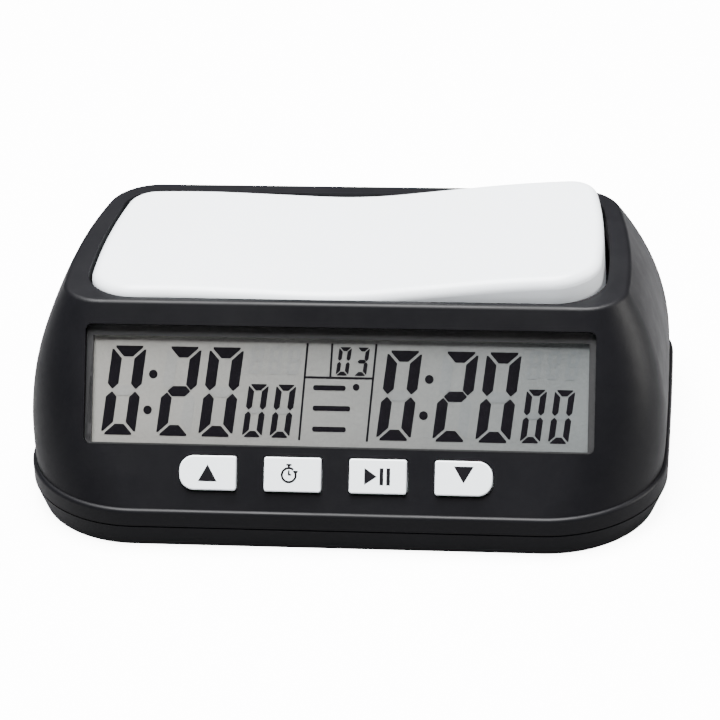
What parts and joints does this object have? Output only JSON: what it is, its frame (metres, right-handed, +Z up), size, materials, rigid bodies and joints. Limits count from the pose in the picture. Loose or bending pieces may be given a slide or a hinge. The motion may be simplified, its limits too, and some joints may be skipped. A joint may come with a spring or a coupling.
{
  "type": "chess clock",
  "caption": "Digital chess clock: wedge-shaped two-part casing, rocking button on top, sloping display, row of keys, battery bay underneath.",
  "frame": {"origin": "on the table, at the middle of the clock's width and depth", "axes": "+X to the right as the player reads the display, which faces -Y; +Z up"},
  "size_m": [0.1502, 0.097, 0.0565],
  "materials": {
    "casing_black": "satin black moulded ABS, fine texture",
    "rocker_white": "satin white moulded ABS",
    "key_white": "satin white moulded ABS",
    "stop_rubber": "soft black rubber",
    "foot_rubber": "soft black rubber",
    "window_clear": "clear acrylic sheet",
    "tape_black": "black foam tape",
    "lcd_glass": "display glass with polariser",
    "lcd_reflector": "grey-green reflector film",
    "strip_rubber": "conductive rubber strip",
    "holder_white": "moulded",
    "board_green": "green solder mask on glass fibre",
    "epoxy_black": "black epoxy",
    "bright_metal": "nickel plated",
    "ceramic_tan": "ceramic",
    "screw_steel": "zinc plated",
    "switch_metal": "tin plated shell",
    "switch_black": "moulded",
    "sounder_brass": "rolled brass",
    "sounder_ceramic": "silvered ceramic",
    "cell_jacket": "plain printed jacket",
    "lead_red": "insulation",
    "lead_black": "insulation",
    "lead_grey": "insulation"
  },
  "bodies": {
    "casing": {"aa_cell": "cell_jacket", "board_capacitors": "ceramic_tan", "board_screws": "screw_steel", "buzzer_ceramic": "sounder_ceramic", "buzzer_lead_black": "lead_black", "buzzer_lead_red": "lead_red", "buzzer_plate": "sounder_brass", "casing_screws": "screw_steel", "cell_contact_plate": "bright_metal", "cell_contact_spring": "bright_metal", "cell_lead_black": "lead_black", "cell_lead_red": "lead_red", "chip_blob": "epoxy_black", "contact_strip": "strip_rubber", "crystal": "bright_metal", "display_window": "window_clear", "foot_1": "foot_rubber", "foot_2": "foot_rubber", "foot_3": "foot_rubber", "foot_4": "foot_rubber", "lcd_front_glass": "lcd_glass", "lcd_holder": "holder_white", "lcd_rear_glass": "lcd_glass", "lcd_reflector": "lcd_reflector", "lower_casing": "casing_black", "main_board": "board_green", "power_lead_red": "lead_red", "power_switch_body": "switch_metal", "rocker_board": "board_green", "rocker_board_screws": "screw_steel", "rocker_lead_1": "lead_grey", "rocker_lead_2": "lead_grey", "rocker_lead_3": "lead_grey", "rocker_stop_left": "stop_rubber", "rocker_stop_right": "stop_rubber", "slide_switch_body": "switch_metal", "switch_body_clock": "switch_black", "switch_body_down": "switch_black", "switch_body_play": "switch_black", "switch_body_up": "switch_black", "upper_casing": "casing_black", "window_tape": "tape_black"},
    "rocker": {"rocker": "rocker_white"},
    "rocker_slider": {"slide_switch_slider": "switch_black"},
    "door": {"battery_door": "casing_black"},
    "power_knob": {"power_switch_knob": "switch_black"},
    "key_up": {"key_up": "key_white", "switch_plunger_up": "switch_black"},
    "key_clock": {"key_clock": "key_white", "switch_plunger_clock": "switch_black"},
    "key_play": {"key_play": "key_white", "switch_plunger_play": "switch_black"},
    "key_down": {"key_down": "key_white", "switch_plunger_down": "switch_black"}
  },
  "joints": [
    {"name": "rocker_tilt", "type": "hinge", "parent": "casing", "child": "rocker", "pos_m": [0, 0.0061, 0.0445], "axis": [0, 1, 0], "range_deg": [0, 4.8]},
    {"name": "rocker_switch", "type": "slide", "parent": "casing", "child": "rocker_slider", "axis": [1, 0, 0], "range_m": [-0.0014, 0]},
    {"name": "key_up_press", "type": "slide", "parent": "casing", "child": "key_up", "axis": [0, 0.8491, -0.5283], "range_m": [0, 0.0005], "stiffness_N_per_m": 1500, "springref_m": -0.0003},
    {"name": "key_clock_press", "type": "slide", "parent": "casing", "child": "key_clock", "axis": [0, 0.8491, -0.5283], "range_m": [0, 0.0005], "stiffness_N_per_m": 1500, "springref_m": -0.0003},
    {"name": "key_play_press", "type": "slide", "parent": "casing", "child": "key_play", "axis": [0, 0.8491, -0.5283], "range_m": [0, 0.0005], "stiffness_N_per_m": 1500, "springref_m": -0.0003},
    {"name": "key_down_press", "type": "slide", "parent": "casing", "child": "key_down", "axis": [0, 0.8491, -0.5283], "range_m": [0, 0.0005], "stiffness_N_per_m": 1500, "springref_m": -0.0003},
    {"name": "battery_door_open", "type": "hinge", "parent": "casing", "child": "door", "pos_m": [0, 0.0145, 0.0016], "axis": [-1, 0, 0], "range_deg": [0, 95]},
    {"name": "power_slide", "type": "slide", "parent": "casing", "child": "power_knob", "axis": [1, 0, 0], "range_m": [0, 0.002]}
  ],
  "couplings": [
    {"joint": "rocker_switch", "follows": "rocker_tilt", "m_per_rad": -0.016}
  ]
}
